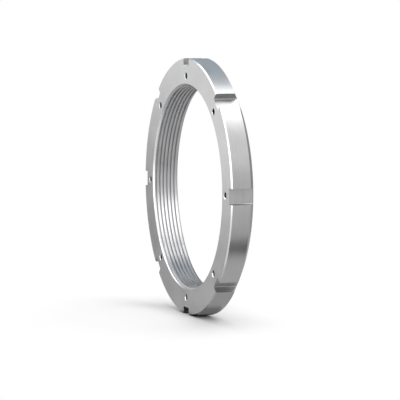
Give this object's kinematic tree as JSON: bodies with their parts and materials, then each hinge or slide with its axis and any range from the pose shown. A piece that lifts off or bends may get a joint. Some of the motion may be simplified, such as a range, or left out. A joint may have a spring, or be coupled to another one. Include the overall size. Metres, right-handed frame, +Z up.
{
  "type": "bearing lock nut",
  "caption": "Round steel lock nut with an internal trapezoidal thread, spanner slots round its rim and tapped holes in its front face, for holding a bearing on a shaft.",
  "frame": {"origin": "on the thread's axis, at the middle of the nut's width", "axes": "+Y along the thread's axis from the front face to the bearing face, +Z up through the top slot, +X to the right as seen from the front"},
  "size_m": [0.3992, 0.042, 0.3992],
  "materials": {
    "steel": "turned, bright"
  },
  "bodies": {
    "root": {"lock_nut": "steel"}
  },
  "joints": []
}
